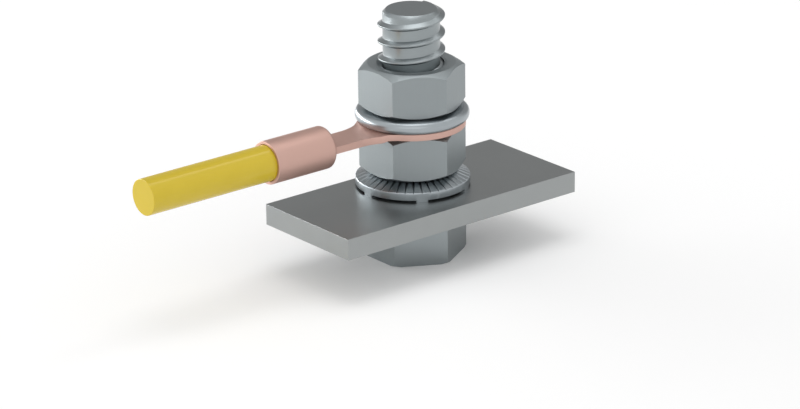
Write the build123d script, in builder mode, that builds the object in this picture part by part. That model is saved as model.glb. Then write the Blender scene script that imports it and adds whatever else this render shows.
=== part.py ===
from build123d import *
from math import floor, radians, sqrt, tan
import os

# Earth terminal: a hexagon bolt stands on its head and passes up through a steel bar. A serrated
# contact washer and a nut clamp the bar, and a second nut clamps the cable's copper lug under a
# conical spring washer.
# Millimetres. Z is the bolt's axis with the head's end face at zero, X runs along the bar, and
# the cable leaves towards -X.

# Hexagons, one spanner size for the bolt and both nuts
across_flats = 17.0
hex_chamfer_angle = 30.0
nut_height = 8.4
nut_flat_circle = 16.0
head_height = 9.05
head_flat_circle = 18.5

# Bolt
bolt_length = 37.25
bolt_end_chamfer = 0.6
head_fillet = 0.5

# Thread, right-handed, with narrow crests over a wide flat root
thread_diameter = 12.2
thread_depth = 0.9
thread_pitch = 3.19
thread_flank_angle = 30.0
thread_crest_width = 0.24
thread_start_height = 1.3
thread_clearance = 0.15
nut_countersink_margin = 0.3
nut_countersink_angle = 28.0

# Mounting bar, its hole nearer to the back edge
plate_length = 53.2
plate_width = 23.8
plate_thickness = 3.95
plate_centre_x = -0.4
plate_centre_y = -3.1
bolt_hole_clearance = 0.8

# Contact washer: a dished ring with teeth on top and six feet under its rim
contact_diameter = 21.0
contact_height = 3.05
contact_rim_height = 1.75
contact_rim_round = 0.35
contact_land_width = 0.8
contact_tooth_count = 42
contact_groove_bottom = 1.98
contact_groove_width = 0.18
contact_groove_angle = 20.0
contact_foot_count = 6
contact_foot_width = 2.15
contact_foot_height = 0.4
contact_seat_diameter = 16.4

# Conical spring washer, pressed flat by the upper nut
spring_diameter = 21.2
spring_thickness = 2.27
spring_top_round = 1.05
spring_bottom_round = 1.0

# Copper lug: ring, neck and closed barrel in one piece, the neck's middle set lower than the ring's
lug_thickness = 1.15
lug_ring_diameter = 19.5
neck_width = 6.3
neck_thickness = 1.3
neck_drop = 0.3
neck_fillet = 9.0
joggle_start = 9.0
joggle_length = 1.5
barrel_start = 20.2
barrel_length = 13.1
barrel_diameter = 7.85
barrel_end_wall = 2.0
barrel_end_round = 0.7
barrel_rim_round = 0.15
barrel_mouth_depth = 3.5

# Cable: seven copper strands in a sheath that is sealed at its far end
sheath_diameter = 6.6
sheath_free_length = 26.5
sheath_end_wall = 1.5
sheath_edge_round = 0.12
strand_diameter = 1.35
strand_gap = 0.05
outer_strand_count = 6
cable_clearance = 0.1

# How far a cutting or joining shape reaches beyond the surface it meets
overlap = 0.1

# Heights of the stack, each piece on the one below
plate_bottom = head_height
plate_top = plate_bottom + plate_thickness
lower_nut_bottom = plate_top + contact_height
lug_bottom = lower_nut_bottom + nut_height
lug_top = lug_bottom + lug_thickness
upper_nut_bottom = lug_top + spring_thickness
bolt_top = head_height + bolt_length

# Sizes that follow from the ones above
bolt_hole_diameter = thread_diameter + bolt_hole_clearance
thread_root_diameter = thread_diameter - 2 * thread_depth
thread_base_width = thread_crest_width + 2 * thread_depth * tan(radians(thread_flank_angle))
first_crest = head_height + thread_start_height
countersink_radius = thread_diameter / 2 + nut_countersink_margin
countersink_apex = countersink_radius * tan(radians(nut_countersink_angle))
barrel_axis_height = lug_bottom + lug_thickness / 2 - neck_drop
neck_bottom = barrel_axis_height - neck_thickness / 2
neck_top = barrel_axis_height + neck_thickness / 2
barrel_mouth = barrel_start + barrel_length
bundle_diameter = 3 * strand_diameter + 2 * strand_gap
sheath_start = barrel_mouth - barrel_mouth_depth + cable_clearance
sheath_end = barrel_mouth + sheath_free_length


def thread_ridge(start, height, growth=0.0):
    """The thread's helical ridge, its sides and crest moved outwards by growth."""
    crest = thread_diameter / 2 + growth
    sunk = thread_root_diameter / 2 - bolt_end_chamfer - overlap
    half_crest = thread_crest_width / 2 + growth
    half_foot = half_crest + (crest - sunk) * tan(radians(thread_flank_angle))
    with BuildPart() as ridge:
        with BuildLine():
            turns = Helix(thread_pitch, height, crest, center=(0, 0, start))
        with BuildSketch(Plane.XZ):
            with BuildLine():
                Polyline(
                    (sunk, start - half_foot),
                    (crest, start - half_crest),
                    (crest, start + half_crest),
                    (sunk, start + half_foot),
                    close=True,
                )
            make_face()
        sweep(path=turns, is_frenet=True)
    return ridge.part


def hexagon_body(bottom, height, flat_circle, chamfer_top=True):
    """A hexagon prism, its corners chamfered down to a circle at the bottom and maybe the top."""
    flat = flat_circle / 2
    reach = across_flats / sqrt(3) + overlap
    drop = (reach - flat) * tan(radians(hex_chamfer_angle))
    top = bottom + height
    with BuildPart() as body:
        with BuildSketch(Plane.XY.offset(bottom)):
            RegularPolygon(across_flats / 2, 6, major_radius=False, rotation=30)
        extrude(amount=height)
        with BuildSketch(Plane.XZ):
            with BuildLine():
                Polyline(
                    (0, bottom),
                    (flat, bottom),
                    (reach, bottom + drop),
                    (reach, top - drop if chamfer_top else top),
                    (flat, top),
                    (0, top),
                    close=True,
                )
            make_face()
        revolve(axis=Axis.Z, mode=Mode.INTERSECT)
    return body.part


def threaded_nut(bottom):
    """A hexagon nut whose inner thread follows the bolt's thread with a clearance."""
    top = bottom + nut_height
    turns_below = floor((bottom - first_crest) / thread_pitch) - 1
    start = first_crest + turns_below * thread_pitch
    groove = thread_ridge(start, top + 2 * thread_pitch - start, thread_clearance)
    bore_radius = thread_root_diameter / 2 + thread_clearance
    body = hexagon_body(bottom, nut_height, nut_flat_circle)
    with BuildPart() as nut:
        add(body)
        add(groove, mode=Mode.SUBTRACT)
        with BuildSketch(Plane.XY.offset(bottom)):
            Circle(bore_radius)
        extrude(amount=nut_height, mode=Mode.SUBTRACT)
        for face, inwards in ((bottom, 1), (top, -1)):
            with BuildSketch(Plane.XZ):
                with BuildLine():
                    Polyline(
                        (0, face),
                        (countersink_radius, face),
                        (0, face + inwards * countersink_apex),
                        close=True,
                    )
                make_face()
            revolve(axis=Axis.Z, mode=Mode.SUBTRACT)
    return nut.part


# Bolt: chamfered head, root cylinder and the ridge wound round it
head = hexagon_body(0, head_height, head_flat_circle, chamfer_top=False)
ridge_height = bolt_length - thread_start_height - thread_base_width / 2
ridge = thread_ridge(first_crest, ridge_height)
with BuildPart() as hex_bolt:
    add(head)
    with BuildSketch(Plane.XY.offset(head_height)):
        Circle(thread_root_diameter / 2)
    extrude(amount=bolt_length)
    under_head = hex_bolt.edges().filter_by(GeomType.CIRCLE).group_by(Axis.Z)[-2]
    fillet(under_head, head_fillet)
    bolt_end = hex_bolt.edges().filter_by(GeomType.CIRCLE).group_by(Axis.Z)[-1]
    chamfer(bolt_end, bolt_end_chamfer)
    add(ridge)
    with BuildSketch(Plane.XY.offset(bolt_top)):
        Circle(thread_diameter)
    extrude(amount=thread_pitch, mode=Mode.SUBTRACT)

# Mounting bar with its clearance hole on the bolt's axis
with BuildPart() as mounting_plate:
    with BuildSketch(Plane.XY.offset(plate_bottom)):
        with Locations((plate_centre_x, plate_centre_y)):
            Rectangle(plate_length, plate_width)
        Circle(bolt_hole_diameter / 2, mode=Mode.SUBTRACT)
    extrude(amount=plate_thickness)

# One groove of the contact washer, from the axis outwards, with a level bottom
groove_depth = contact_height - contact_groove_bottom + overlap
groove_side = groove_depth * tan(radians(contact_groove_angle))
groove_floor = plate_top + contact_groove_bottom
with BuildPart() as contact_groove:
    with BuildSketch(Plane.YZ):
        with BuildLine():
            Polyline(
                (-contact_groove_width / 2, groove_floor),
                (contact_groove_width / 2, groove_floor),
                (contact_groove_width / 2 + groove_side, groove_floor + groove_depth),
                (-contact_groove_width / 2 - groove_side, groove_floor + groove_depth),
                close=True,
            )
        make_face()
    extrude(amount=contact_diameter / 2)

# Contact washer: dished ring, toothed on top, with a relief under the rim between its feet
contact_radius = contact_diameter / 2
land_radius = bolt_hole_diameter / 2 + contact_land_width
with BuildPart() as contact_washer:
    with BuildSketch(Plane.XZ):
        with BuildLine():
            Polyline(
                (bolt_hole_diameter / 2, plate_top),
                (contact_radius, plate_top),
                (contact_radius, plate_top + contact_rim_height),
                (land_radius, plate_top + contact_height),
                (bolt_hole_diameter / 2, plate_top + contact_height),
                close=True,
            )
        make_face()
    revolve(axis=Axis.Z)
    rim = contact_washer.edges().filter_by(GeomType.CIRCLE).sort_by(SortBy.RADIUS)[-2:]
    fillet(rim.sort_by(Axis.Z)[-1], contact_rim_round)
    with BuildSketch(Plane.XY.offset(plate_top)):
        Circle(contact_radius)
        Circle(contact_seat_diameter / 2, mode=Mode.SUBTRACT)
        with PolarLocations(0, contact_foot_count):
            Rectangle(2 * contact_radius, contact_foot_width, mode=Mode.SUBTRACT)
    extrude(amount=contact_foot_height, mode=Mode.SUBTRACT)
    with PolarLocations(0, contact_tooth_count):
        add(contact_groove.part, mode=Mode.SUBTRACT)

# Nuts
lower_nut = threaded_nut(lower_nut_bottom)
upper_nut = threaded_nut(upper_nut_bottom)

# Spring washer with a well rounded upper shoulder
spring_radius = spring_diameter / 2
with BuildPart() as spring_washer:
    with BuildSketch(Plane.XY.offset(lug_top)):
        Circle(spring_radius)
        Circle(bolt_hole_diameter / 2, mode=Mode.SUBTRACT)
    extrude(amount=spring_thickness)
    outer_edges = spring_washer.edges().filter_by(GeomType.CIRCLE).sort_by(SortBy.RADIUS)[-2:]
    fillet(outer_edges.sort_by(Axis.Z)[-1], spring_top_round)
    outer_edges = spring_washer.edges().filter_by(GeomType.CIRCLE).group_by(Axis.Z)[0]
    fillet(outer_edges.sort_by(SortBy.RADIUS)[-1], spring_bottom_round)

# Palm of the lug: the ring and neck seen from above, kept between the lines of its side view,
# where a slight joggle takes the neck down to the barrel's axis
neck_end = barrel_start + barrel_end_wall / 2
with BuildPart() as palm:
    with BuildSketch(Plane.XY.offset(neck_bottom)) as palm_outline:
        Circle(lug_ring_diameter / 2)
        with Locations((-neck_end / 2, 0)):
            Rectangle(neck_end, neck_width)
        fillet(palm_outline.vertices().group_by(Axis.X)[1], neck_fillet)
        Circle(bolt_hole_diameter / 2, mode=Mode.SUBTRACT)
    extrude(amount=lug_top - neck_bottom)
    with BuildSketch(Plane.XZ):
        with BuildLine():
            Polyline(
                (lug_ring_diameter, lug_bottom),
                (-joggle_start, lug_bottom),
                (-joggle_start - joggle_length, neck_bottom),
                (-neck_end, neck_bottom),
                (-neck_end, neck_top),
                (-joggle_start - joggle_length, neck_top),
                (-joggle_start, lug_top),
                (lug_ring_diameter, lug_top),
                close=True,
            )
        make_face()
    extrude(amount=lug_ring_diameter, both=True, mode=Mode.INTERSECT)

# Lug: a barrel closed towards the ring, joined to the palm
with BuildPart() as cable_lug:
    with BuildSketch(Plane((-barrel_start, 0, barrel_axis_height), z_dir=(-1, 0, 0))):
        Circle(barrel_diameter / 2)
    extrude(amount=barrel_length)
    barrel_rims = cable_lug.edges().filter_by(GeomType.CIRCLE).sort_by(Axis.X)
    fillet(barrel_rims[0], barrel_rim_round)
    fillet(barrel_rims[-1], barrel_end_round)
    add(palm.part)
    with BuildSketch(Plane((-barrel_mouth, 0, barrel_axis_height), z_dir=(1, 0, 0))):
        Circle(sheath_diameter / 2 + cable_clearance)
    extrude(amount=barrel_mouth_depth, mode=Mode.SUBTRACT)
    with BuildSketch(Plane((-barrel_mouth, 0, barrel_axis_height), z_dir=(1, 0, 0))):
        Circle(bundle_diameter / 2 + cable_clearance)
    extrude(amount=barrel_length - barrel_end_wall, mode=Mode.SUBTRACT)

# Cable sheath, a tube closed at its far end
with BuildPart() as cable_sheath:
    with BuildSketch(Plane((-sheath_start, 0, barrel_axis_height), z_dir=(-1, 0, 0))):
        Circle(sheath_diameter / 2)
    extrude(amount=sheath_end - sheath_start)
    fillet(cable_sheath.edges().sort_by(Axis.X)[0], sheath_edge_round)
    with BuildSketch(Plane((-sheath_start, 0, barrel_axis_height), z_dir=(-1, 0, 0))):
        Circle(bundle_diameter / 2 + cable_clearance)
    extrude(amount=sheath_end - sheath_start - sheath_end_wall, mode=Mode.SUBTRACT)

# Conductor: one straight strand with the others round it
conductor_start = barrel_start + barrel_end_wall + cable_clearance
conductor_end = sheath_end - sheath_end_wall - cable_clearance
with BuildPart() as cable_conductor:
    with BuildSketch(Plane((-conductor_start, 0, barrel_axis_height), z_dir=(-1, 0, 0))):
        Circle(strand_diameter / 2)
        with PolarLocations(strand_diameter + strand_gap, outer_strand_count):
            Circle(strand_diameter / 2)
    extrude(amount=conductor_end - conductor_start)

pieces = {
    "hex_bolt": hex_bolt.part,
    "mounting_plate": mounting_plate.part,
    "contact_washer": contact_washer.part,
    "lower_nut": lower_nut,
    "cable_lug": cable_lug.part,
    "spring_washer": spring_washer.part,
    "upper_nut": upper_nut,
    "cable_sheath": cable_sheath.part,
    "cable_conductor": cable_conductor.part,
}
os.makedirs("parts", exist_ok=True)
for name, piece in pieces.items():
    piece.label = name
    export_step(piece, f"parts/{name}.step")
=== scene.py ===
# %% [markdown]
# An earth terminal: a hexagon bolt stands on its head and passes up through a steel bar. A toothed
# contact washer and a nut clamp the bar, and a second nut presses a cable lug down with a sprung
# washer. The frame holds where each piece is. This script remakes each visible piece with fine
# edges in its place, and gives it a finish.

# %% Load the frame
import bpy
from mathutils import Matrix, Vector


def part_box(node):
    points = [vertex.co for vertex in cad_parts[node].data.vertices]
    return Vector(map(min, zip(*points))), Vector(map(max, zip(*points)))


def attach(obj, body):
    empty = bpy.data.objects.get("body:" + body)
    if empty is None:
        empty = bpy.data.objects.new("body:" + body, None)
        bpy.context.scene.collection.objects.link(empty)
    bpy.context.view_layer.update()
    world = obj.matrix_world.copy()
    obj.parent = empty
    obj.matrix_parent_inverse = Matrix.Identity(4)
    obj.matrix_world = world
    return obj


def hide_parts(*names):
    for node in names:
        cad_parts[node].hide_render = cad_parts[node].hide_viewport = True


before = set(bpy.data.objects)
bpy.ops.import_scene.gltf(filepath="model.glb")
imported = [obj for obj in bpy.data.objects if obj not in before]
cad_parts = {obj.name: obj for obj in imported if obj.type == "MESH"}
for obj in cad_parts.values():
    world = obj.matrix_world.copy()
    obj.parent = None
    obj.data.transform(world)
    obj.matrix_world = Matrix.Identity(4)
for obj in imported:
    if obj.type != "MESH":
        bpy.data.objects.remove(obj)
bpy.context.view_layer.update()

from math import cos, floor, pi, radians, sin, sqrt, tan

import bpy
from mathutils import Matrix, Vector

mm = 0.001

# %% [markdown]
# The camera comes first. The photograph was taken with a long lens, so the bar's edges stay almost
# parallel. Its direction, tilt and distance were found by fitting the corners of the bar and the
# hexagons, and the camera is put at that place rather than aimed, so that nothing needs shifting.

# %% Camera
photo_width = 800
focal_length_pixels = 3730.0
camera_azimuth = radians(-38.941)
camera_elevation = radians(20.53)
camera_roll = radians(-0.706)
camera_distance = 680.4 * mm
aim_right = -2.355 * mm
aim_up = -3.974 * mm


def camera_axes():
    """The camera's right, up and back directions."""
    back = Vector((
        sin(camera_azimuth) * cos(camera_elevation),
        -cos(camera_azimuth) * cos(camera_elevation),
        sin(camera_elevation),
    ))
    level = Vector((cos(camera_azimuth), sin(camera_azimuth), 0))
    upright = back.cross(level)
    right = level * cos(camera_roll) + upright * sin(camera_roll)
    return right, back.cross(right), back


bar_low, bar_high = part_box("mounting_plate")
right, up, back = camera_axes()
bpy.ops.object.camera_add()
camera = bpy.context.object
camera.name = "photo_camera"
place = Vector((0, 0, bar_high[2])) + right * aim_right + up * aim_up + back * camera_distance
camera.matrix_world = Matrix((right, up, back)).transposed().to_4x4()
camera.location = place
camera.data.sensor_width = 36
camera.data.lens = focal_length_pixels / photo_width * camera.data.sensor_width
camera.data.clip_start = 10 * mm
bpy.context.scene.camera = camera
print("camera", [round(c / mm) for c in place], "lens", round(camera.data.lens))

# %% [markdown]
# Every piece is made with the same few hand tools. An operator works on all that is selected, so
# each step starts with nothing selected, and faces or edges are then picked by where they are.


# %% Selecting
def deselect_all():
    """Leaves edit mode with nothing selected."""
    if bpy.context.object and bpy.context.object.mode != "OBJECT":
        bpy.ops.object.mode_set(mode="OBJECT")
    bpy.ops.object.select_all(action="DESELECT")


def hold(piece):
    """Makes a piece the only one selected, and the active one."""
    deselect_all()
    piece.select_set(True)
    bpy.context.view_layer.objects.active = piece


def pick_edges(piece, wanted):
    """Enters edit mode with the edges selected whose two ends both pass a test."""
    hold(piece)
    mesh = piece.data
    bpy.context.tool_settings.mesh_select_mode = (False, True, False)
    for face in mesh.polygons:
        face.select = False
    for vertex in mesh.vertices:
        vertex.select = False
    for edge in mesh.edges:
        edge.select = all(wanted(mesh.vertices[i].co) for i in edge.vertices)
    bpy.ops.object.mode_set(mode="EDIT")


def circle_at(radius, height, slack=0.02 * mm):
    """A test for points on a level circle round the bolt's axis."""
    def on_circle(point):
        on_level = abs(point.z - height) < slack
        return on_level and abs(sqrt(point.x ** 2 + point.y ** 2) - radius) < slack
    return on_circle


# %% [markdown]
# A round on an edge is a bevel with several segments. A modifier is applied at once, so a piece is
# always a plain mesh before its next step. A boolean uses up the tool that it cuts or joins with.

# %% Rounds, modifiers and welds
weld_distance = 0.002 * mm
touching = 0.01 * mm


def round_edges(piece, wanted, width, segments):
    """Bevels the picked edges to a round."""
    pick_edges(piece, wanted)
    bpy.ops.mesh.bevel(offset=width, segments=segments, affect="EDGES", clamp_overlap=False)
    bpy.ops.object.mode_set(mode="OBJECT")


def apply_modifier(piece, kind, **settings):
    """Adds one modifier and applies it at once."""
    hold(piece)
    modifier = piece.modifiers.new(kind.lower(), kind)
    for setting, value in settings.items():
        setattr(modifier, setting, value)
    bpy.ops.object.modifier_apply(modifier=modifier.name)


def combine(piece, tool, operation):
    """Joins a piece with a tool, cuts it, or keeps what both share. The tool is used up."""
    apply_modifier(piece, "BOOLEAN", operation=operation, object=tool, solver="EXACT")
    bpy.data.objects.remove(tool)


def tidy_mesh(piece, flat_angle=radians(0.5)):
    """Welds doubles and merges faces that lie in one plane."""
    hold(piece)
    bpy.ops.object.mode_set(mode="EDIT")
    bpy.ops.mesh.select_all(action="SELECT")
    bpy.ops.mesh.remove_doubles(threshold=weld_distance)
    bpy.ops.mesh.dissolve_limited(angle_limit=flat_angle)
    bpy.ops.mesh.normals_make_consistent(inside=False)
    bpy.ops.object.mode_set(mode="OBJECT")


# %% [markdown]
# What is turned in a lathe or cut to a side view starts as one point. Extruding it from place to
# place draws the outline, and a spin or a pull makes the outline a solid.


# %% Drawn and turned shapes
def drawn(name, outline):
    """A face in the XZ plane, its outline drawn edge by edge. It is left in edit mode, selected."""
    deselect_all()
    bpy.ops.mesh.primitive_plane_add(size=mm)
    piece = bpy.context.object
    piece.name = name
    bpy.context.tool_settings.mesh_select_mode = (True, False, False)
    bpy.ops.object.mode_set(mode="EDIT")
    bpy.ops.mesh.select_all(action="SELECT")
    bpy.ops.mesh.merge(type="CENTER")
    bpy.ops.transform.translate(value=(outline[0][0], 0, outline[0][1]))
    for (across, height), (next_across, next_height) in zip(outline, outline[1:]):
        step = (next_across - across, 0, next_height - height)
        bpy.ops.mesh.extrude_region_move(TRANSFORM_OT_translate={"value": step})
    bpy.ops.mesh.select_all(action="SELECT")
    bpy.ops.mesh.edge_face_add()
    bpy.ops.mesh.select_all(action="SELECT")
    return piece


def turned(name, outline, steps=144):
    """A closed outline of (radius, height) points spun round the bolt's axis."""
    piece = drawn(name, outline)
    bpy.ops.mesh.delete(type="ONLY_FACE")
    bpy.ops.mesh.select_all(action="SELECT")
    bpy.ops.mesh.spin(steps=steps, angle=2 * pi, center=(0, 0, 0), axis=(0, 0, 1))
    bpy.ops.mesh.select_all(action="SELECT")
    bpy.ops.mesh.remove_doubles(threshold=weld_distance)
    bpy.ops.mesh.normals_make_consistent(inside=False)
    bpy.ops.object.mode_set(mode="OBJECT")
    return piece


def side_profile(name, outline, half_width):
    """A closed outline of (x, height) points pulled out to both sides of the XZ plane."""
    piece = drawn(name, outline)
    bpy.ops.transform.translate(value=(0, -half_width, 0))
    step = (0, 2 * half_width, 0)
    bpy.ops.mesh.extrude_region_move(TRANSFORM_OT_translate={"value": step})
    bpy.ops.mesh.select_all(action="SELECT")
    bpy.ops.mesh.normals_make_consistent(inside=False)
    bpy.ops.object.mode_set(mode="OBJECT")
    return piece


# %% [markdown]
# The stock is round bar and block, added at its size and place. What repeats is made once and
# copied, each copy with its own mesh.


# %% Bars, blocks and copies
def round_bar(name, radius, low, high, axis="Z", centre=(0, 0), vertices=144):
    """A solid round bar along Z, or along X at a height, from low to high."""
    deselect_all()
    middle = (low + high) / 2
    place = (centre[0], centre[1], middle) if axis == "Z" else (middle, centre[0], centre[1])
    turn = (0, 0, 0) if axis == "Z" else (0, pi / 2, 0)
    bpy.ops.mesh.primitive_cylinder_add(
        vertices=vertices, radius=radius, depth=high - low, location=place, rotation=turn
    )
    piece = bpy.context.object
    piece.name = name
    bpy.ops.object.transform_apply(location=True, rotation=True, scale=True)
    return piece


def block(name, low, high):
    """A plain block between two corners."""
    deselect_all()
    middle = [(a + b) / 2 for a, b in zip(low, high)]
    bpy.ops.mesh.primitive_cube_add(size=1, location=middle)
    piece = bpy.context.object
    piece.name = name
    piece.scale = [b - a for a, b in zip(low, high)]
    bpy.ops.object.transform_apply(location=True, rotation=True, scale=True)
    return piece


def copy_turned(piece, angle):
    """A copy with its own mesh, turned round the bolt's axis."""
    hold(piece)
    bpy.ops.object.duplicate(linked=False)
    copy = bpy.context.object
    copy.rotation_euler = (0, 0, angle)
    bpy.ops.object.transform_apply(location=True, rotation=True, scale=True)
    return copy


def join(pieces):
    """Several objects as one, keeping the first one's name."""
    hold(pieces[0])
    for piece in pieces:
        piece.select_set(True)
    bpy.ops.object.join()
    return pieces[0]


# %% [markdown]
# No real edge is quite sharp, and a small round on each one catches a line of light. The normals
# then lean to the large faces, so the flats stay flat beside their rounds. A finished piece takes
# the place of its solid in the frame.


# %% Finishing a piece
def shade_rounds(piece, smooth=radians(35)):
    """Shades the flats flat and the rounds round."""
    hold(piece)
    bpy.ops.object.shade_smooth_by_angle(angle=smooth)
    apply_modifier(piece, "WEIGHTED_NORMAL", weight=80, keep_sharp=True)


def finish_edges(piece, width, segments=3, angle=radians(16)):
    """Softens every remaining sharp edge, then shades the piece."""
    apply_modifier(
        piece, "BEVEL", width=width, segments=segments, limit_method="ANGLE", angle_limit=angle,
        use_clamp_overlap=True, miter_outer="MITER_ARC",
    )
    shade_rounds(piece)


def take_place(piece, material, slot, *nodes):
    """Puts a finished piece in the place of its nodes, in its finish."""
    piece.data.materials.clear()
    piece.data.materials.append(material)
    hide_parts(*nodes)
    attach(piece, "root")
    triangles = sum(len(face.vertices) - 2 for face in piece.data.polygons)
    print(piece.name, "triangles", triangles)


# %% [markdown]
# All metal here is clean and new, but no real surface is even. Two effects are shared by the
# finishes: a soft mottle, such as a plating bath leaves, and fine lines, such as drawing or rolling
# leaves. Each is a node group, so a finish only sets how strong and how large it is.


# %% Shared effects
def new_group(name, inputs, outputs):
    """A node group with float or vector sockets, and its two end nodes."""
    group = bpy.data.node_groups.new(name, "ShaderNodeTree")
    for socket, kind, value in inputs:
        made = group.interface.new_socket(socket, in_out="INPUT", socket_type=f"NodeSocket{kind}")
        if kind == "Float":
            made.default_value = value
    for socket in outputs:
        group.interface.new_socket(socket, in_out="OUTPUT", socket_type="NodeSocketFloat")
    start = group.nodes.new("NodeGroupInput")
    end = group.nodes.new("NodeGroupOutput")
    return group, start, end


def maths(tree, operation, first, second):
    """A Math node whose inputs are sockets or numbers."""
    node = tree.nodes.new("ShaderNodeMath")
    node.operation = operation
    for socket, value in zip(node.inputs, (first, second)):
        if isinstance(value, (int, float)):
            socket.default_value = value
        else:
            tree.links.new(value, socket)
    return node.outputs[0]


def add_noise(group, start, end, vector, detail):
    """A noise over a vector, at the group's scale, put out as the group's amount."""
    noise = group.nodes.new("ShaderNodeTexNoise")
    noise.inputs["Detail"].default_value = detail
    group.links.new(vector, noise.inputs["Vector"])
    group.links.new(start.outputs["Scale"], noise.inputs["Scale"])
    group.links.new(noise.outputs["Fac"], end.inputs["Amount"])
    return noise


def mottle_group():
    """Soft cloudy patches, 0.5 on average."""
    group, start, end = new_group(
        "plating_mottle", [("Vector", "Vector", None), ("Scale", "Float", 300.0)], ["Amount"]
    )
    noise = add_noise(group, start, end, start.outputs["Vector"], detail=3)
    noise.inputs["Roughness"].default_value = 0.6
    return group


def lines_group():
    """Fine lines along the axis whose stretch is small, or an even grain. 0.5 on average."""
    group, start, end = new_group(
        "drawn_lines",
        [("Vector", "Vector", None), ("Scale", "Float", 2500.0), ("Stretch", "Vector", None)],
        ["Amount"],
    )
    stretch = group.nodes.new("ShaderNodeVectorMath")
    stretch.operation = "MULTIPLY"
    group.links.new(start.outputs["Vector"], stretch.inputs[0])
    group.links.new(start.outputs["Stretch"], stretch.inputs[1])
    add_noise(group, start, end, stretch.outputs["Vector"], detail=2)
    return group


plating_mottle = mottle_group()
drawn_lines = lines_group()


# %% [markdown]
# A finish is one Principled shader. It reads the object's own coordinates, and mixes two close
# tones and two close roughnesses by the shared effects. Each helper below adds one step of that.
# The noise lies between 0.3 and 0.7 nearly everywhere, so the roughness is spread over that range.

# %% Finish helpers
noise_low = 0.3
noise_high = 0.7


def finish_base(name, metallic, roughness, specular=0.5):
    """A material with its shader and object coordinates."""
    material = bpy.data.materials.new(name)
    material.use_nodes = True
    tree = material.node_tree
    shader = tree.nodes["Principled BSDF"]
    shader.inputs["Metallic"].default_value = metallic
    shader.inputs["Roughness"].default_value = roughness
    shader.inputs["Specular IOR Level"].default_value = specular
    where = tree.nodes.new("ShaderNodeTexCoord").outputs["Object"]
    print("finish", name, "roughness", round(roughness, 2))
    return material, tree, shader, where


def effect(tree, group, where, **values):
    """One shared effect placed in a material, with its amount."""
    node = tree.nodes.new("ShaderNodeGroup")
    node.node_tree = group
    tree.links.new(where, node.inputs["Vector"])
    for socket, value in values.items():
        node.inputs[socket].default_value = value
    return node.outputs["Amount"]


def between(tree, amount, low, high):
    """A number that goes from low to high over the noise's usual range."""
    node = tree.nodes.new("ShaderNodeMapRange")
    tree.links.new(amount, node.inputs["Value"])
    node.inputs["From Min"].default_value = noise_low
    node.inputs["From Max"].default_value = noise_high
    node.inputs["To Min"].default_value = low
    node.inputs["To Max"].default_value = high
    return node.outputs["Result"]


def tones(tree, amount, first, second):
    """A colour between two tones."""
    node = tree.nodes.new("ShaderNodeMix")
    node.data_type = "RGBA"
    tree.links.new(amount, node.inputs["Factor"])
    node.inputs["A"].default_value = (*first, 1)
    node.inputs["B"].default_value = (*second, 1)
    return node.outputs["Result"]


def bumped(tree, shader, height, distance):
    """A height of 0 to 1 as a bump of that many metres."""
    node = tree.nodes.new("ShaderNodeBump")
    node.inputs["Distance"].default_value = distance
    node.inputs["Strength"].default_value = 1
    tree.links.new(height, node.inputs["Height"])
    tree.links.new(node.outputs["Normal"], shader.inputs["Normal"])


# %% [markdown]
# Zinc plating on the bolt and nuts is a blue-grey metal. It lies satin on the nuts, and glossier
# on the bolt, whose thread was rolled. The bar is plain steel with a smooth rolled skin, so it
# mirrors softly what stands on it. The washers are as glossy as the bolt, and paler. The fine lines
# run up the bolt and nuts and along the bar, and the washers have an even grain instead.

# %% Steel finishes
along_x = (0.02, 1, 1)
along_z = (1, 1, 0.02)
no_direction = (1, 1, 1)
plating_scale = 260.0
line_scale = 2600.0
mottle_share = 0.7
line_share = 0.3
clear_lines = 0.0006 * mm
faint_lines = 0.0001 * mm
zinc_grey = (0.30, 0.33, 0.34)
bar_grey = (0.34, 0.355, 0.355)
washer_grey = (0.37, 0.405, 0.425)


def steel(name, tone, tone_spread, roughness, roughness_spread, line_depth, stretch):
    """A steel whose tone and roughness are mottled, over fine lines."""
    material, tree, shader, where = finish_base(name, 1.0, roughness)
    mottle = effect(tree, plating_mottle, where, Scale=plating_scale)
    lines = effect(tree, drawn_lines, where, Scale=line_scale, Stretch=stretch)
    low = [c * (1 - tone_spread) for c in tone]
    high = [c * (1 + tone_spread) for c in tone]
    tree.links.new(tones(tree, mottle, low, high), shader.inputs["Base Color"])
    mottle_part = maths(tree, "MULTIPLY", mottle, mottle_share)
    line_part = maths(tree, "MULTIPLY", lines, line_share)
    mixed = maths(tree, "ADD", mottle_part, line_part)
    rough = between(tree, mixed, roughness - roughness_spread, roughness + roughness_spread)
    tree.links.new(rough, shader.inputs["Roughness"])
    bumped(tree, shader, lines, line_depth)
    return material


nut_steel = steel(
    "nut_steel", zinc_grey, tone_spread=0.05, roughness=0.48, roughness_spread=0.04,
    line_depth=clear_lines, stretch=along_z,
)
bolt_steel = steel(
    "bolt_steel", zinc_grey, tone_spread=0.04, roughness=0.31, roughness_spread=0.02,
    line_depth=faint_lines, stretch=along_z,
)
bar_steel = steel(
    "bar_steel", bar_grey, tone_spread=0.04, roughness=0.33, roughness_spread=0.02,
    line_depth=faint_lines, stretch=along_x,
)
washer_steel = steel(
    "washer_steel", washer_grey, tone_spread=0.04, roughness=0.31, roughness_spread=0.02,
    line_depth=faint_lines, stretch=no_direction,
)

# %% [markdown]
# The lug is bare copper. Handling has left it a dull pink, with slightly darker clouds. The cable's
# sheath is a smooth soft plastic with faint lines along its length. Both are made the same way,
# with clouds that shift the tone and the gloss together.


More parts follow.
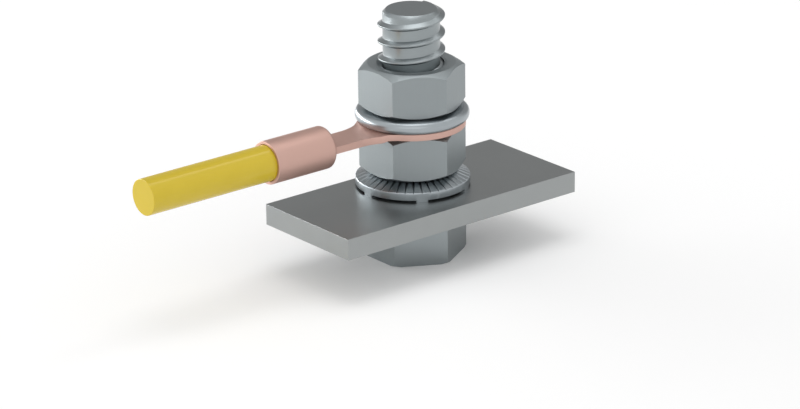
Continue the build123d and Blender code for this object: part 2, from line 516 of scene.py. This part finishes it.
# %% Copper and plastic finishes
def clouded(name, metallic, specular, tone_pair, gloss_pair, cloud_scale, lines_scale, line_depth):
    """A finish with clouds of tone and roughness, over fine lines along the cable."""
    middle = sum(gloss_pair) / 2
    material, tree, shader, where = finish_base(name, metallic, middle, specular)
    clouds = effect(tree, plating_mottle, where, Scale=cloud_scale)
    lines = effect(tree, drawn_lines, where, Scale=lines_scale, Stretch=along_x)
    tree.links.new(tones(tree, clouds, *tone_pair), shader.inputs["Base Color"])
    tree.links.new(between(tree, clouds, *gloss_pair), shader.inputs["Roughness"])
    bumped(tree, shader, lines, line_depth)
    return material


copper = clouded(
    "lug_copper", metallic=1.0, specular=0.5,
    tone_pair=((0.595, 0.39, 0.335), (0.665, 0.445, 0.385)), gloss_pair=(0.51, 0.57),
    cloud_scale=180.0, lines_scale=line_scale, line_depth=clear_lines,
)
strand_copper = copper.copy()
strand_copper.name = "strand_copper"
sheath = clouded(
    "sheath_plastic", metallic=0.0, specular=0.42,
    tone_pair=((0.555, 0.41, 0.02), (0.6, 0.45, 0.03)), gloss_pair=(0.17, 0.23),
    cloud_scale=240.0, lines_scale=1800.0, line_depth=0.001 * mm,
)

# %% [markdown]
# The bar is a sawn piece of flat steel with a round hole. Its edges are nearly sharp, with only a
# thin line of light along them, so the block gets a small round on every edge.

# %% Mounting bar
hole_radius = 6.5 * mm
bar_round = 0.06 * mm
bar = block("bar", bar_low, bar_high)
bore = round_bar("bore", hole_radius, bar_low[2] - mm, bar_high[2] + mm)
combine(bar, bore, "DIFFERENCE")
finish_edges(bar, bar_round)
take_place(bar, bar_steel, "plate_steel", "mounting_plate")

# %% [markdown]
# A thread is one ridge wound round a core. Its cross-section is drawn as a trapezoid that reaches
# into the core, its crest corners are rounded, and a Screw modifier winds it upwards. The same
# ridge, a little fatter, cuts the nuts.

# %% Thread ridge
bolt_low, bolt_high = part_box("hex_bolt")
crest_radius = 6.1 * mm
root_radius = 5.2 * mm
pitch = 3.19 * mm
flank_angle = radians(30)
half_crest = 0.12 * mm
end_chamfer = 0.6 * mm
crest_round = 0.05 * mm
ridge_overlap = 0.1 * mm
crest_above_head = 1.3 * mm
plane_order = (0, 1, 3, 2)
head_top = bar_low[2]
first_crest = head_top + crest_above_head
half_foot = half_crest + (crest_radius - root_radius) * tan(flank_angle)


def thread_ridge(name, start, height, growth=0.0, steps_per_turn=90):
    """A closed helical ridge from one height upwards, its sides moved out by growth."""
    crest = crest_radius + growth
    sunk = root_radius - end_chamfer - ridge_overlap
    top = half_crest + growth
    foot = top + (crest - sunk) * tan(flank_angle)
    deselect_all()
    bpy.ops.mesh.primitive_plane_add(size=mm)
    ridge = bpy.context.object
    ridge.name = name
    corners = [(sunk, -foot), (crest, -top), (crest, top), (sunk, foot)]
    for i, (radius, height_off) in zip(plane_order, corners):
        ridge.data.vertices[i].co = (radius, 0, start + height_off)
    bpy.context.tool_settings.mesh_select_mode = (True, False, False)
    for vertex in ridge.data.vertices:
        vertex.select = vertex.co.x > crest - touching
    bpy.ops.object.mode_set(mode="EDIT")
    bpy.ops.mesh.select_mode(type="VERT")
    bpy.ops.mesh.bevel(offset=crest_round, segments=3, affect="VERTICES")
    bpy.ops.mesh.select_all(action="SELECT")
    bpy.ops.mesh.delete(type="ONLY_FACE")
    bpy.ops.object.mode_set(mode="OBJECT")
    turns = height / pitch
    steps = round(steps_per_turn * turns)
    apply_modifier(
        ridge, "SCREW", axis="Z", angle=2 * pi * turns, screw_offset=height, iterations=1,
        steps=steps, render_steps=steps, use_merge_vertices=False,
    )
    hold(ridge)
    bpy.ops.object.mode_set(mode="EDIT")
    bpy.ops.mesh.select_all(action="SELECT")
    bpy.ops.mesh.fill_holes(sides=0)
    bpy.ops.mesh.select_all(action="SELECT")
    bpy.ops.mesh.normals_make_consistent(inside=False)
    bpy.ops.object.mode_set(mode="OBJECT")
    return ridge


# %% [markdown]
# A bolt's head and a nut are the same turned hexagon: a six-sided bar put in a lathe, whose
# corners are cut down at 30 degrees. On a nut the cut starts at a circle inside the flats, and on
# the head it only takes the tips of the corners. Keeping what a hexagon prism and a turned shape
# share gives the curved corner lines by themselves.

# %% Hexagon with turned corners
corner_angle = radians(30)
lathe_margin = 0.3 * mm


def hexagon(name, low, high, flat_radius, top_too):
    """A hexagon between two corners of its box, turned down at the bottom and maybe the top."""
    corner_radius = high[1]
    reach = corner_radius + lathe_margin
    drop = (reach - flat_radius) * tan(corner_angle)
    prism = round_bar(name, corner_radius, low[2], high[2], vertices=6)
    outline = [(0, low[2]), (flat_radius, low[2]), (reach, low[2] + drop)]
    if top_too:
        outline += [(reach, high[2] - drop), (flat_radius, high[2]), (0, high[2])]
    else:
        outline += [(reach, high[2] + mm), (0, high[2] + mm)]
    lathe_shape = turned(f"{name}_lathe", outline, steps=180)
    combine(prism, lathe_shape, "INTERSECT")
    return prism


# %% [markdown]
# The bolt is its head and its shank. The shank is a round core with a chamfered end. The ridge is
# cut off level with that end and joined to the core, and only then are their edges softened. The
# shank's foot stands in the head, so the two stay separate shells of one object.

# %% Bolt
head_flat_radius = 9.25 * mm
head_round = 0.14 * mm
depth_in_head = 0.5 * mm
thread_round = 0.05 * mm

head_high = (bolt_high[0], bolt_high[1], head_top)
head = hexagon("bolt", bolt_low, head_high, head_flat_radius, top_too=False)
finish_edges(head, head_round)

shank = round_bar("shank", root_radius, head_top - depth_in_head, bolt_high[2], vertices=180)
round_edges(shank, circle_at(root_radius, bolt_high[2]), end_chamfer, 1)
ridge = thread_ridge("ridge", first_crest, bolt_high[2] - half_foot - first_crest)
above = round_bar("above", 2 * crest_radius, bolt_high[2], bolt_high[2] + 2 * pitch)
combine(ridge, above, "DIFFERENCE")
combine(shank, ridge, "UNION")
print("shank faces", len(shank.data.polygons))
finish_edges(shank, thread_round, segments=2, angle=radians(25))
bolt = join([head, shank])
bolt.name = "bolt_body"
take_place(bolt, bolt_steel, "zinc_steel", "hex_bolt")

# %% [markdown]
# Each nut starts as the hexagon. The thread's groove is cut first, then the bore between the turns
# of the groove, and last a wide countersink at both ends, which shows as a dark ring round the
# bolt. A real nut is bored before it is threaded, but the shape is the same.

# %% Nuts
nut_flat_radius = 8.0 * mm
nut_round = 0.1 * mm
thread_gap = 0.15 * mm
countersink_radius = 6.4 * mm
countersink_angle = radians(28)
countersink_over = 0.4 * mm


def nut(name, node):
    """A hexagon nut in the place of a node."""
    low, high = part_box(node)
    body = hexagon(name, low, high, nut_flat_radius, top_too=True)
    turns_below = floor((low[2] - first_crest) / pitch) - 1
    start = first_crest + turns_below * pitch
    groove = thread_ridge(f"{name}_groove", start, high[2] + 2 * pitch - start, thread_gap)
    combine(body, groove, "DIFFERENCE")
    bore = round_bar(f"{name}_bore", root_radius + thread_gap, low[2] - mm, high[2] + mm)
    combine(body, bore, "DIFFERENCE")
    wide = countersink_radius + countersink_over / tan(countersink_angle)
    depth = countersink_radius * tan(countersink_angle)
    for face, inwards in ((low[2], 1), (high[2], -1)):
        outside = face - inwards * countersink_over
        tip = face + inwards * depth
        cone = turned(f"{name}_cone", [(0, outside), (wide, outside), (0, tip)], steps=120)
        combine(body, cone, "DIFFERENCE")
    finish_edges(body, nut_round, segments=2)
    take_place(body, nut_steel, "zinc_steel", node)


nut("nut_low", "lower_nut")
nut("nut_high", "upper_nut")

# %% [markdown]
# The contact washer bites into the paint of what it earths. It is a ring with a cone on top, teeth
# all over the cone, and six feet with a thin slot between each two. Its section has a narrow level
# land beside the hole, and is spun round the bolt's axis.

# %% Ring of the contact washer
washer_low, washer_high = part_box("contact_washer")
washer_base = washer_low[2]
washer_radius = washer_high[0]
rim_height = 1.75 * mm
rim_round = 0.15 * mm
land_width = 0.8 * mm
land_radius = hole_radius + land_width

washer = turned("toothed_washer", [
    (hole_radius, washer_base),
    (washer_radius, washer_base),
    (washer_radius, washer_base + rim_height),
    (land_radius, washer_high[2]),
    (hole_radius, washer_high[2]),
], steps=168)
round_edges(washer, circle_at(washer_radius, washer_base + rim_height), rim_round, 4)
print("ring faces", len(washer.data.polygons))

# %% [markdown]
# One wedge, copied round, cuts the teeth. It is a block whose top is pulled wide. Its two ends are
# then moved out past the land and the rim, and the outer end down, so that its lower edge slopes
# with the cone and each groove is shallower at the rim than at the land.

# %% Teeth of the contact washer
tooth_count = 42
groove_depth = 0.5 * mm
groove_rim_depth = 0.12 * mm
groove_width = 0.05 * mm
groove_angle = radians(27)
wedge_over = 0.2 * mm

wedge_height = groove_depth + wedge_over
wedge_low = washer_high[2] - groove_depth
wedge = block(
    "wedge",
    (land_radius, -groove_width / 2, wedge_low),
    (washer_radius, groove_width / 2, wedge_low + wedge_height),
)
spread = 1 + 2 * wedge_height * tan(groove_angle) / groove_width
pick_edges(wedge, lambda point: point.z > wedge_low + wedge_height / 2)
bpy.ops.transform.resize(value=(1, spread, 1))
bpy.ops.object.mode_set(mode="OBJECT")
rim_drop = washer_base + rim_height - groove_rim_depth - wedge_low
slope = rim_drop / (washer_radius - land_radius)
for end, way in ((land_radius, -1), (washer_radius, 1)):
    pick_edges(wedge, lambda point: abs(point.x - end) < touching)
    move = (way * mm, 0, way * mm * slope + (rim_drop if way > 0 else 0))
    bpy.ops.transform.translate(value=move)
    bpy.ops.object.mode_set(mode="OBJECT")
wedges = [wedge] + [copy_turned(wedge, 2 * pi * i / tooth_count) for i in range(1, tooth_count)]
for cutter in wedges:
    combine(washer, cutter, "DIFFERENCE")
print("toothed faces", len(washer.data.polygons))

# %% [markdown]
# The slots between the feet are cut by one thin ring with six gaps. Three blocks laid across the
# axis make the gaps.

# %% Feet of the contact washer
foot_count = 6
foot_width = 2.15 * mm
foot_height = 0.4 * mm
seat_radius = 8.2 * mm
under_base = washer_base - 0.2 * mm
beyond_rim = washer_radius + mm
tooth_round = 0.04 * mm

slots = turned("slots", [
    (seat_radius, under_base),
    (beyond_rim, under_base),
    (beyond_rim, washer_base + foot_height),
    (seat_radius, washer_base + foot_height),
])
for i in range(foot_count // 2):
    foot = block(
        "foot",
        (-2 * washer_radius, -foot_width / 2, washer_base - mm),
        (2 * washer_radius, foot_width / 2, washer_base + mm),
    )
    foot.rotation_euler = (0, 0, pi * i / (foot_count // 2))
    hold(foot)
    bpy.ops.object.transform_apply(location=True, rotation=True, scale=True)
    combine(slots, foot, "DIFFERENCE")
combine(washer, slots, "DIFFERENCE")
finish_edges(washer, tooth_round, segments=2, angle=radians(20))
take_place(washer, washer_steel, "washer_steel", "contact_washer")

# %% [markdown]
# The spring washer is pressed flat by the nut. Its rim is rounded nearly in a half circle, and the
# upper shoulder catches a long bright line. It is a little narrower than its box in the frame, as
# the photograph shows it.

# %% Spring washer
spring_low, spring_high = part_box("spring_washer")
spring_inset = 0.2 * mm
spring_radius = spring_high[0] - spring_inset
shoulder_round = 1.05 * mm
under_round = 1.0 * mm
spring_round = 0.1 * mm
rim_segments = 12

spring = turned("sprung_washer", [
    (hole_radius, spring_low[2]),
    (spring_radius, spring_low[2]),
    (spring_radius, spring_high[2]),
    (hole_radius, spring_high[2]),
], steps=180)
round_edges(spring, circle_at(spring_radius, spring_high[2]), shoulder_round, rim_segments)
round_edges(spring, circle_at(spring_radius, spring_low[2]), under_round, rim_segments)
finish_edges(spring, spring_round)
take_place(spring, washer_steel, "washer_steel", "spring_washer")

# %% [markdown]
# The lug is a flat ring and neck, and a barrel, closed at the neck, that the cable goes into. Seen
# from above the neck flares into the ring in two wide hollows, so a block between them is cut by
# two round bars. The plan is made thicker than the sheet, to be cut to its side view next.

# %% Plan of the cable lug
lug_low, lug_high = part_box("cable_lug")
ring_radius = lug_high[0]
ring_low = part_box("lower_nut")[1][2]
ring_high = spring_low[2]
barrel_height = (lug_low[2] + lug_high[2]) / 2
barrel_start = 20.2 * mm
neck_half_width = 3.15 * mm
neck_thickness = 1.3 * mm
hollow_radius = 9.0 * mm

neck_low = barrel_height - neck_thickness / 2
neck_high = barrel_height + neck_thickness / 2
sheet_low = neck_low - mm
sheet_high = ring_high + mm
reach_out = ring_radius + hollow_radius
hollow_across = neck_half_width + hollow_radius
hollow_along = -sqrt(reach_out ** 2 - hollow_across ** 2)
flare_half_width = hollow_across * ring_radius / reach_out

flare = block(
    "flare", (hollow_along, -flare_half_width, sheet_low), (0, flare_half_width, sheet_high)
)
for side in (-1, 1):
    hollow = round_bar(
        "hollow", hollow_radius, sheet_low - mm, sheet_high + mm, "Z",
        (hollow_along, side * hollow_across), vertices=240,
    )
    combine(flare, hollow, "DIFFERENCE")
lug = round_bar("lug", ring_radius, sheet_low, sheet_high, vertices=180)
neck = block(
    "neck", (-barrel_start - mm, -neck_half_width, sheet_low), (0, neck_half_width, sheet_high)
)
combine(lug, neck, "UNION")
combine(lug, flare, "UNION")
ring_hole = round_bar("ring_hole", hole_radius, sheet_low - mm, sheet_high + mm)
combine(lug, ring_hole, "DIFFERENCE")
tidy_mesh(lug)
print("plan faces", len(lug.data.polygons))

# %% [markdown]
# Seen from the side the neck steps down a little, from the ring to the barrel's axis. Such a step
# is called a joggle, and half a cosine wave gives its soft shape. The plan and this side view are
# crossed, and what they share is the lug without its barrel.

# %% Side view of the cable lug
joggle_start = -9.0 * mm
joggle_length = 1.5 * mm
joggle_steps = 8
sheet_round = 0.1 * mm


def joggle(ring_level, neck_level):
    """Points of a soft step along the neck, from the ring's level to the neck's."""
    points = []
    for i in range(joggle_steps + 1):
        share = i / joggle_steps
        drop = (1 - cos(pi * share)) / 2
        along = joggle_start - joggle_length * share
        points.append((along, ring_level + (neck_level - ring_level) * drop))
    return points


beyond_neck = -barrel_start - 2 * mm
beyond_ring = ring_radius + mm
under_side = [(beyond_ring, ring_low)] + joggle(ring_low, neck_low) + [(beyond_neck, neck_low)]
top_side = [(beyond_ring, ring_high)] + joggle(ring_high, neck_high) + [(beyond_neck, neck_high)]
lug_side = side_profile("lug_side", under_side + top_side[::-1], 2 * ring_radius)
combine(lug, lug_side, "INTERSECT")
tidy_mesh(lug)
finish_edges(lug, sheet_round, angle=radians(30))

# %% [markdown]
# The barrel is a round bar with a soft round at its closed end. Its mouth is bored for the sheath,
# which leaves a thin wall, and the barrel is joined to the neck.

# %% Barrel of the cable lug
barrel_radius = (lug_high[2] - lug_low[2]) / 2
mouth = lug_low[0]
mouth_depth = 3.5 * mm
sheath_low, sheath_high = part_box("cable_sheath")
sheath_radius = (sheath_high[2] - sheath_low[2]) / 2
cable_gap = 0.04 * mm
closed_round = 0.7 * mm
mouth_round = 0.12 * mm

barrel = round_bar("barrel", barrel_radius, mouth, -barrel_start, "X", (0, barrel_height))
round_edges(barrel, lambda point: point.x > -barrel_start - touching, closed_round, 8)
socket = round_bar(
    "socket", sheath_radius + cable_gap, mouth - mm, mouth + mouth_depth, "X", (0, barrel_height)
)
combine(barrel, socket, "DIFFERENCE")
finish_edges(barrel, mouth_round)
combine(lug, barrel, "UNION")
shade_rounds(lug)
take_place(lug, copper, "lug_copper", "cable_lug")

# %% [markdown]
# The cable is a short stub cut square. Its sheath is smooth, with a small round at the cut, and is
# closed there, so that a plain round bar shows all of it. The strands inside it stay as the frame
# has them.

# %% Cable
cut_round = 0.15 * mm
cable = round_bar(
    "cable_cover", sheath_radius, sheath_low[0], sheath_high[0], "X", (0, barrel_height)
)
finish_edges(cable, cut_round, segments=4)
take_place(cable, sheath, "sheath_plastic", "cable_sheath")
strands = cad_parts["cable_conductor"]
strands.data.materials.clear()
strands.data.materials.append(strand_copper)
print(strands.name, "finish", strand_copper.name)

# %% [markdown]
# The floor is a plain white sheet. It takes the object's soft shadow, and a little light of its own
# towards the camera and in reflections makes it white.

# %% Floor
floor_size = 6.0
floor_white = (0.9, 0.9, 0.9, 1)
floor_glow = 0.03

deselect_all()
bpy.ops.mesh.primitive_plane_add(size=floor_size, location=(0, 0, bolt_low[2]))
floor_sheet = bpy.context.object
floor_sheet.name = "floor_sheet"
paper = bpy.data.materials.new("white_paper")
paper.use_nodes = True
paper_tree = paper.node_tree
paper_shader = paper_tree.nodes["Principled BSDF"]
paper_shader.inputs["Base Color"].default_value = floor_white
paper_shader.inputs["Roughness"].default_value = 0.9
paper_shader.inputs["Specular IOR Level"].default_value = 0
paper_shader.inputs["Emission Color"].default_value = (1, 1, 1, 1)
paths = paper_tree.nodes.new("ShaderNodeLightPath")
seen = maths(paper_tree, "MAXIMUM", paths.outputs["Is Camera Ray"], paths.outputs["Is Glossy Ray"])
glow = maths(paper_tree, "MULTIPLY", seen, floor_glow)
paper_tree.links.new(glow, paper_shader.inputs["Emission Strength"])
floor_sheet.data.materials.append(paper)
print("floor", floor_size, "m wide, glow", floor_glow)

# %% [markdown]
# The light is a plain studio. The room is evenly pale, so shadows spread softly to all sides.
# Steel only looks like steel when it mirrors something darker, so a grey screen is drawn in the
# room's own light, behind the terminal, and the level faces show it to the camera.

# %% Room
world = bpy.data.worlds.new("studio_room")
bpy.context.scene.world = world
world.use_nodes = True
room_tree = world.node_tree
room_level = 0.93
screen_level = 0.4
screen_middle = Vector((-back.x, -back.y, back.z))
screen_edge = cos(radians(62))
screen_core = cos(radians(32))

facing = room_tree.nodes.new("ShaderNodeVectorMath")
facing.operation = "DOT_PRODUCT"
facing.inputs[1].default_value = screen_middle
sky = room_tree.nodes.new("ShaderNodeTexCoord")
room_tree.links.new(sky.outputs["Generated"], facing.inputs[0])
shade = room_tree.nodes.new("ShaderNodeMapRange")
shade.interpolation_type = "SMOOTHSTEP"
room_tree.links.new(facing.outputs["Value"], shade.inputs["Value"])
shade.inputs["From Min"].default_value = screen_edge
shade.inputs["From Max"].default_value = screen_core
shade.inputs["To Min"].default_value = room_level
shade.inputs["To Max"].default_value = screen_level
room = room_tree.nodes["Background"]
room.inputs["Color"].default_value = (1, 1, 1, 1)
room_tree.links.new(shade.outputs["Result"], room.inputs["Strength"])
print("room", room_level, "screen", screen_level)

# %% [markdown]
# Four soft boxes light the terminal. One hangs overhead, and a weak one stands behind the camera. A
# narrow one, high up behind the terminal on the right, draws the line of light along the cable. A
# long low one, behind it on the left, brightens the left faces.


# %% Soft boxes
def soft_box(name, azimuth, elevation, distance, width, height, power):
    """A soft box that looks at the terminal, its azimuth counted from the camera's."""
    middle = Vector((0, 0, bar_high[2]))
    around = camera_azimuth + radians(azimuth)
    rise = radians(elevation)
    towards = Vector((sin(around) * cos(rise), -cos(around) * cos(rise), sin(rise)))
    bpy.ops.object.light_add(type="AREA", location=middle + towards * distance)
    lamp = bpy.context.object
    lamp.name = name
    lamp.data.shape = "RECTANGLE"
    lamp.data.size = width
    lamp.data.size_y = height
    lamp.data.energy = power
    lamp.rotation_euler = towards.to_track_quat("Z", "Y").to_euler()
    print(name, "at", [round(c, 2) for c in lamp.location], "m,", power, "W")


soft_box("top_box", azimuth=0, elevation=90, distance=1.0, width=0.6, height=0.6, power=1.8)
soft_box("front_box", azimuth=0, elevation=22, distance=1.0, width=0.9, height=0.35, power=0.6)
soft_box("back_box", azimuth=131, elevation=54, distance=1.0, width=0.14, height=0.45, power=0.38)
soft_box("left_box", azimuth=-118, elevation=6, distance=0.9, width=1.0, height=0.2, power=6.4)

bpy.context.scene.view_settings.view_transform = "Standard"
